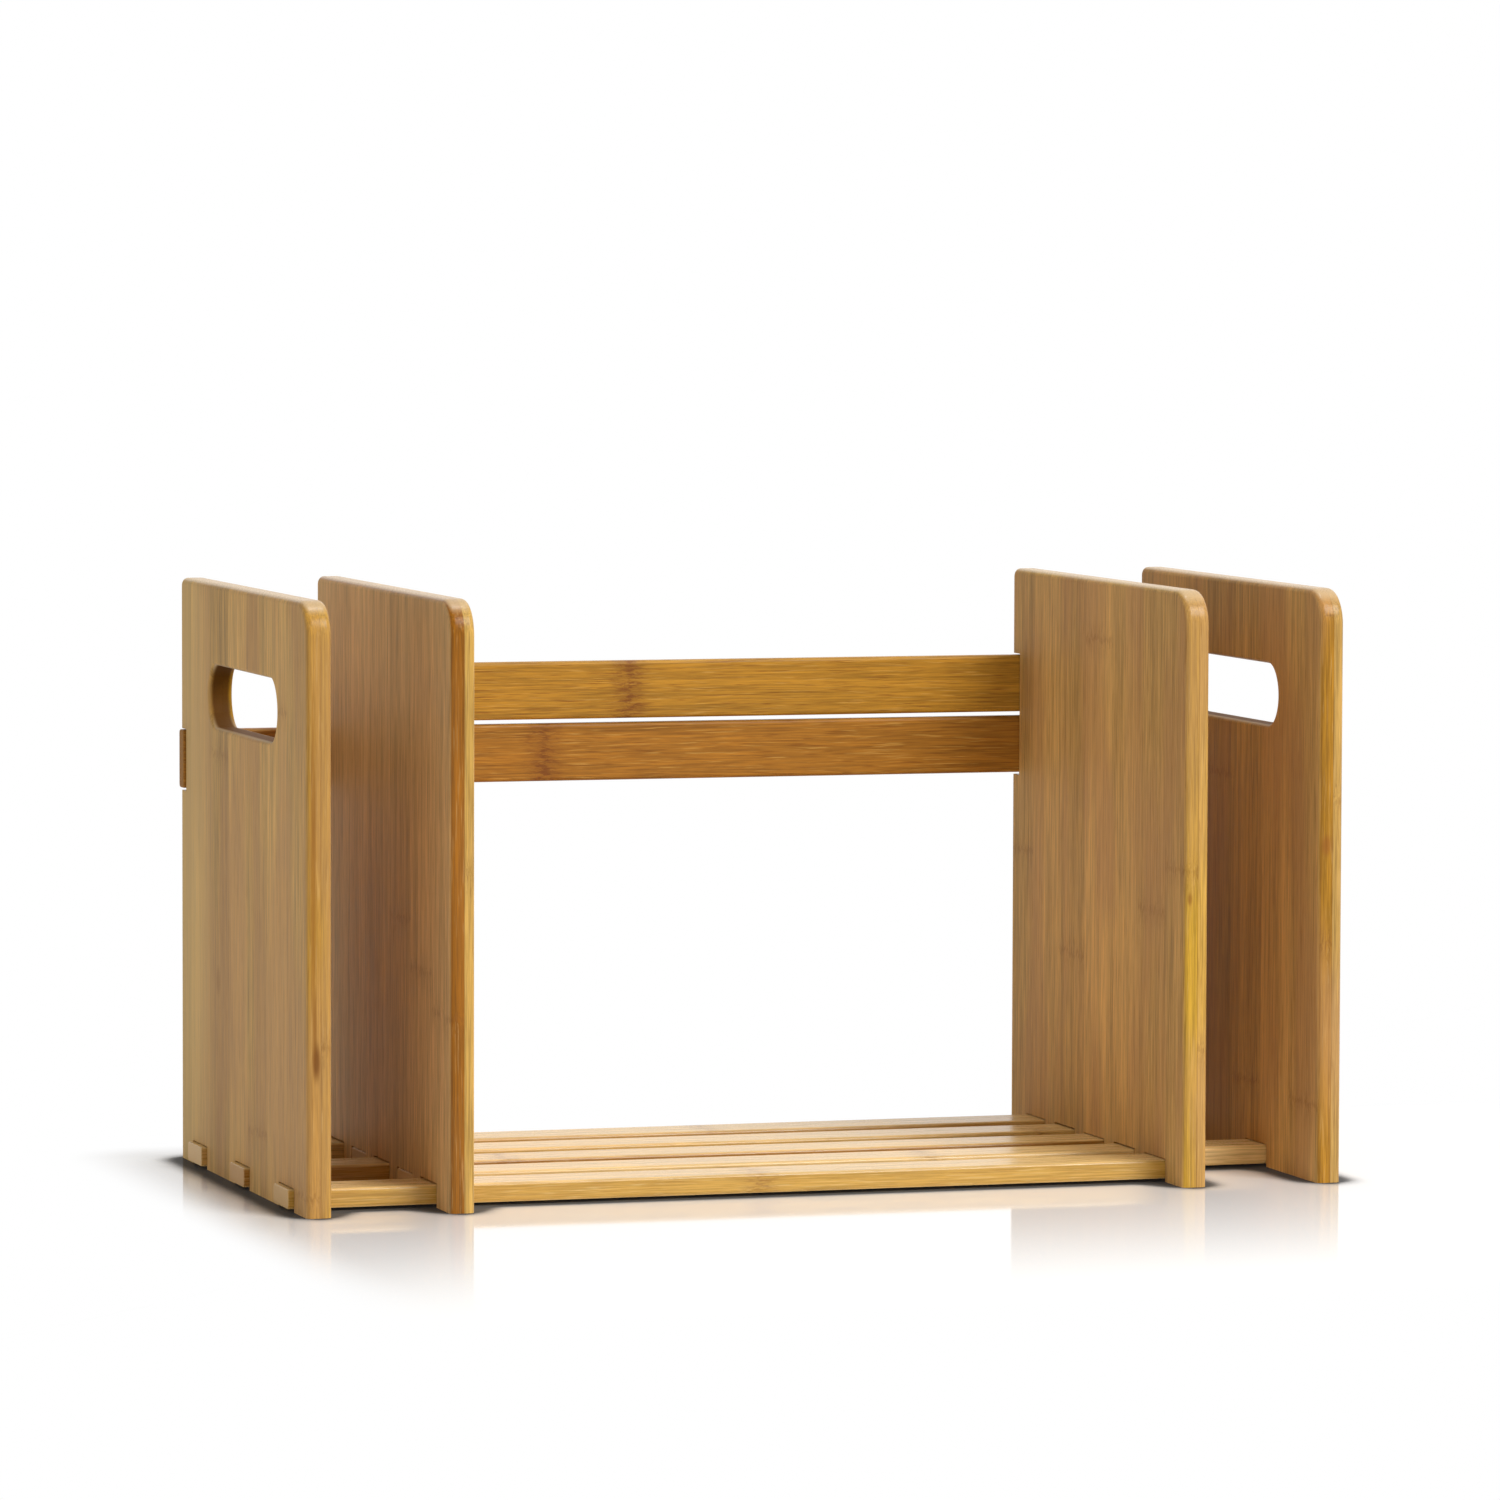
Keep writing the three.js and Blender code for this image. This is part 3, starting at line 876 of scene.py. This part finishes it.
def rearNotches(low, high, half, other, inner):
    # An outer board holds its own back slat; an inner one also lets the other half's run through
    shape = boardShape
    own, guest = half["backSlat"], other["backSlat"]
    ownLow, ownHigh = (corner.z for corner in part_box(own))
    seat, play = shape["seatGap"], shape["backPlay"]
    if not inner:
        return [rearNotchCutter(low, high, own, seat, ownLow - play, ownHigh + seat)]
    guestLow, guestHigh = (corner.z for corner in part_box(guest))
    slide = shape["slideGap"]
    if own == "lower_back_slat":
        return [
            rearNotchCutter(low, high, own, seat, ownLow - play, guestLow),
            rearNotchCutter(low, high, guest, slide, ownHigh, guestHigh + slide),
        ]
    return [
        rearNotchCutter(low, high, own, seat, guestHigh, ownHigh + seat),
        rearNotchCutter(low, high, guest, slide, guestLow - slide, ownLow),
    ]


def makeBoard(half, other, which, material):
    shape = boardShape
    inner = which == "inner"
    node = half[which] + "_board"
    low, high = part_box(node)
    board = blockBetween(low, high)

    def frontTop(a, b):
        return all(onPlane(end.y, low.y) and onPlane(end.z, high.z) for end in (a, b))

    def rearTop(a, b):
        return all(onPlane(end.y, high.y) and onPlane(end.z, high.z) for end in (a, b))

    def aroundFaces(a, b):
        onFace = onPlane(a.x, b.x) and (onPlane(a.x, low.x) or onPlane(a.x, high.x))
        return onFace and not (onPlane(a.z, low.z) and onPlane(b.z, low.z))

    roundEdges(board, frontTop, shape["frontTopRadius"], shape["cornerSteps"])
    roundEdges(board, rearTop, shape["rearTopRadius"], shape["rearSteps"])
    roundEdges(board, aroundFaces, shape["edgeRound"], shape["edgeSteps"])

    for name in half["slats"]:
        cutAway(board, bottomNotchCutter(low, high, f"bottom_slat_{name}", shape["seatGap"]))
    for name in other["slats"] if inner else []:
        cutAway(board, bottomNotchCutter(low, high, f"bottom_slat_{name}", shape["slideGap"]))
    for cutter in rearNotches(low, high, half, other, inner):
        cutAway(board, cutter)
    for name in [*half["slats"], "back"]:
        cutAway(board, screwHoleCutter(f"{half[which]}_screw_{name}"))
    if not inner:
        cutAway(board, handHoleCutter(low, high))
        roundRim(board, low, high)
    return finishPiece(board, node, material)


# Slats: sawn from strip, long edges rounded, ends just broken
slatShape = {"longRound": 1.3 * mm, "longSteps": 5, "endRound": 0.5 * mm, "endSteps": 3}


def makeSlat(node, screws, material):
    low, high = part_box(node)
    slat = blockBetween(low, high)
    shape = slatShape
    roundEdges(slat, lambda a, b: not onPlane(a.x, b.x), shape["longRound"], shape["longSteps"])
    roundEdges(slat, lambda a, b: onPlane(a.x, b.x), shape["endRound"], shape["endSteps"])
    for screw in screws:
        cutAway(slat, screwHoleCutter(screw))
    return finishPiece(slat, node, material)


# Looks of the single pieces. nearPly is the ply towards -X, farPly the one towards +X.
boardLook = {
    "axes": "YXZ",  # across the strips, through the board, along the grain
    "stripWidth": 27 * mm,
    "plyShare": 0.56,
    "plyStagger": 7.4,  # strips of the far ply lie this many widths further on
    "toneSpread": 0.16,
    "streak": 0.14,
    "fibre": 0.23,
    "blush": 0.5,
    "blushColour": "#b98a5c",
    "lightDash": 0.26,
    "lightColour": "#d9b173",
    "darkDash": 0.32,
    "darkColour": "#8a5a24",
    "bundle": 0.14,
    "bloom": 0.04,
    "blotch": 0.16,
    "nodeLine": 0.2,
    "nodeColour": "#7a4a1c",
    "nodeSpacing": 300 * mm,
    "nodes": [],
    "stripGlue": 0.25,
    "plyGlue": 0.4,
    "glueColour": "#6b3f10",
    "endGrain": 0.75,
    "endColour": "#cdb086",
    "face": "#cba161",
    "skinDepth": 0.7 * mm,
    "lacquerIndex": 1.5,
    "mirror": 0.08,  # sprayed thin and rubbed down, it mirrors less than a full coat
    "roughness": (0.24, 0.36),
    "faceDulling": 0.26,
    "endDulling": 0.0,
    "edgeCoat": 0.2,
    "coatEnd": 0.2,  # the dulling at which no coat is left
    "coatRoughness": 0.25,
    "noiseSpan": (0.3, 0.7),  # the range that streaks and fibres spread over
    "relief": 0.7,
    "marks": [],
    "hole": None,
}
boardLooks = {
    "left_outer": {
        "seed": 1.7,
        "nearPly": "#b78725",
        "farPly": "#bc8f2c",
        "stripShift": 8 * mm,
        "marks": [
            {
                "middle": (-88.5 * mm, -176.1 * mm, 51 * mm),
                "halfSize": (4 * mm, 1.8 * mm, 9 * mm),
                "strength": 0.85,
                "colour": "#6f3f10",
            },
            {
                "middle": (-88.5 * mm, -176.5 * mm, 62 * mm),
                "halfSize": (4 * mm, 0.9 * mm, 17 * mm),
                "strength": 0.6,
                "colour": "#7c4c14",
            },
            {
                "middle": (-88.5 * mm, -177.0 * mm, 112 * mm),
                "halfSize": (5 * mm, 1.3 * mm, 80 * mm),
                "strength": 0.65,
                "colour": "#8f5a16",
            },
            {
                "middle": (34 * mm, -179.2 * mm, 66 * mm),
                "halfSize": (4 * mm, 2 * mm, 7 * mm),
                "strength": 0.3,
                "colour": "#7a4a1c",
            },
            # Painted light: the rear part of the outer face is painted paler, standing in for a
            # brighter sheen there, not a change in the wood
            {
                "middle": (88 * mm, -179.2 * mm, 90 * mm),
                "halfSize": (60 * mm, 4 * mm, 260 * mm),
                "strength": 0.6,
                "colour": "#debb7a",
            },
        ],
    },
    "left_inner": {
        "seed": 2.9,
        "nearPly": "#9b5e00",
        "farPly": "#d1a552",
        # Painted light: this inner face is painted paler than the other boards' faces, lifting the
        # shade it lies in between the boards
        "face": "#dfb87e",
        "blush": 0.12,
        "stripShift": 11 * mm,
    },
    "right_inner": {
        "seed": 4.3,
        "nearPly": "#c69931",
        "farPly": "#c99c46",
        "stripShift": 16 * mm,
        "marks": [
            {
                "middle": (-88.5 * mm, 124.6 * mm, 97 * mm),
                "halfSize": (4 * mm, 1.2 * mm, 3 * mm),
                "strength": 0.6,
                "colour": "#8a531b",
            },
        ],
    },
    "right_outer": {
        "seed": 5.6,
        "nearPly": "#af7b22",
        "farPly": "#c79c52",
        "stripShift": 7 * mm,
        "marks": [
            {
                "middle": (-88.5 * mm, 173.4 * mm, 114 * mm),
                "halfSize": (4 * mm, 2.6 * mm, 5 * mm),
                "strength": 0.5,
                "colour": "#8a4a1c",
            },
        ],
    },
}
# The sawn wall of a hand hole is painted dark brown as painted shade inside the hole, and is made
# duller
paintedHoleShade = {
    "halfDepth": 2.2 * mm,
    "over": 0.5 * mm,
    "strength": 0.95,
    "colour": "#58340b",
    "dulling": 0.3,
}
slatLook = {
    **boardLook,
    "stripWidth": 60 * mm,  # one strip makes the slat
    "stripShift": 30 * mm,
    "plyStagger": 0,
    "toneSpread": 0.0,
    "streak": 0.08,
    "fibre": 0.16,
    "blush": 0.0,
    "lightDash": 0.3,
    "lightColour": "#ecd091",
    "darkDash": 0.34,
    "darkColour": "#a06c26",
    "bundle": 0.18,
    "bloom": 0.12,
    "blotch": 0.35,
    "nodeLine": 0.2,
    "nodeColour": "#85531c",
    "stripGlue": 0.0,
    "plyGlue": 0.0,
    "endGrain": 0.9,
    "endColour": "#d8b078",
    # the front slat's own side colour; the other slats' sides carry painted light and shade of the
    # gaps
    "side": "#bf9340",
    # The bottom slats' top and bottom faces and their rounding are paler than the sides: partly
    # the strip's paler skin, partly painted sheen of the lit tops
    "face": "#e4c07e",
    "skinDepth": 0.8 * mm,
    "faceDulling": 0.0,
    "endDulling": 0.3,
    "edgeCoat": 0.0,
    "relief": 0.3,
    "mirror": 0.42,
    "roughness": (0.22, 0.34),
}
# Painted light and shade in the gaps between the slats: a slat's side colour is what shows in the
# gap before it. The second slat's side is painted the pale top colour as painted light, the middle
# slat's is painted dark as painted shade, and the fourth's and the rear's are set each to the
# painted lighting of its own gap
bottomSlatLooks = {
    "front": {"seed": 7.1, "nodes": [-0.02, 0.26], "endColour": "#cfa76e"},
    "second": {"seed": 8.4, "nodes": [0.05, -0.2], "side": "#e4c07e"},
    "middle": {
        "seed": 9.2,
        "nodes": [-0.09, 0.18],
        "side": "#a8752c",
        "endColour": "#ca9e65",
    },
    "fourth": {"seed": 10.8, "nodes": [0.11, -0.15], "side": "#d2a75a"},
    "rear": {
        "seed": 11.5,
        "nodes": [0.0, -0.27],
        "side": "#c0924c",
        "endColour": "#e8c38c",
    },
}
backSlatLooks = {
    "lower_back_slat": {"seed": 12.3, "nodes": [-0.052, 0.21], "wood": "#a26c20"},
    "upper_back_slat": {"seed": 13.9, "nodes": [-0.021, 0.25], "wood": "#b07e25"},
}
backSlatWood = {
    "streak": 0.12,
    "fibre": 0.24,
    "lightDash": 0.5,
    "lightColour": "#d3a452",
    "darkDash": 0.7,
    "darkColour": "#7c480c",
    "bundle": 0.3,
    "bloom": 0.35,
    "blotch": 0.75,
    "nodeLine": 0.4,
    "nodeColour": "#784312",
    "endColour": "#a0723c",
    "mirror": 0.25,
    "relief": 0.6,
    "roughness": (0.4, 0.54),
}


def placeLook(look, node):
    # Where this piece's middle and glue line lie, from its place in the frame
    low, high = (corner["XYZ".index(look["axes"][1])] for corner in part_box(node))
    return {
        **look,
        "middle": (low + high) / 2,
        "halfThickness": (high - low) / 2,
        "plySplit": low + (high - low) * look["plyShare"],
    }


def holeBlock(node):
    # The hand hole's block, measured across, through and along the grain
    low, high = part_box(node)
    middle = (low + high) / 2
    over = paintedHoleShade["over"]
    halfLength = boardShape["holeLength"] / 2 + over
    halfHeight = boardShape["holeHeight"] / 2 + over
    return {
        "middle": (middle.y, middle.x, high.z - boardShape["holeDrop"]),
        "half": (halfLength, paintedHoleShade["halfDepth"], halfHeight),
    }


def makeRack():
    makeScrews(zincPlatedSteel())
    for half, other in (halves, halves[::-1]):
        for which in ("outer", "inner"):
            name = half[which]
            look = placeLook({**boardLook, **boardLooks[name]}, name + "_board")
            if which == "outer":
                look["hole"] = holeBlock(name + "_board")
            makeBoard(half, other, which, bambooMaterial("lacqueredBambooBoard_" + name, look))
            print("board:", name)
        for name in half["slats"]:
            node = f"bottom_slat_{name}"
            look = {**slatLook, **bottomSlatLooks[name], "axes": "YZX"}
            # a bottom slat's sides take the side colour, painted gap light and shade included
            look = {**look, "nearPly": look["side"], "farPly": look["side"]}
            material = bambooMaterial("lacqueredBambooSlat_" + name, placeLook(look, node))
            screws = [f"{half[which]}_screw_{name}" for which in ("outer", "inner")]
            makeSlat(node, screws, material)
        node = half["backSlat"]
        wood = backSlatLooks[node]["wood"]
        plain = {"nearPly": wood, "farPly": wood, "face": wood, "axes": "ZYX"}
        look = {**slatLook, **backSlatWood, **backSlatLooks[node], **plain}
        material = bambooMaterial("lacqueredBamboo_" + node, placeLook(look, node))
        screws = [f"{half[which]}_screw_back" for which in ("outer", "inner")]
        makeSlat(node, screws, material)
        print("slats of one half:", len(half["slats"]) + 1)


makeCamera()
makeStudio()
makeRack()
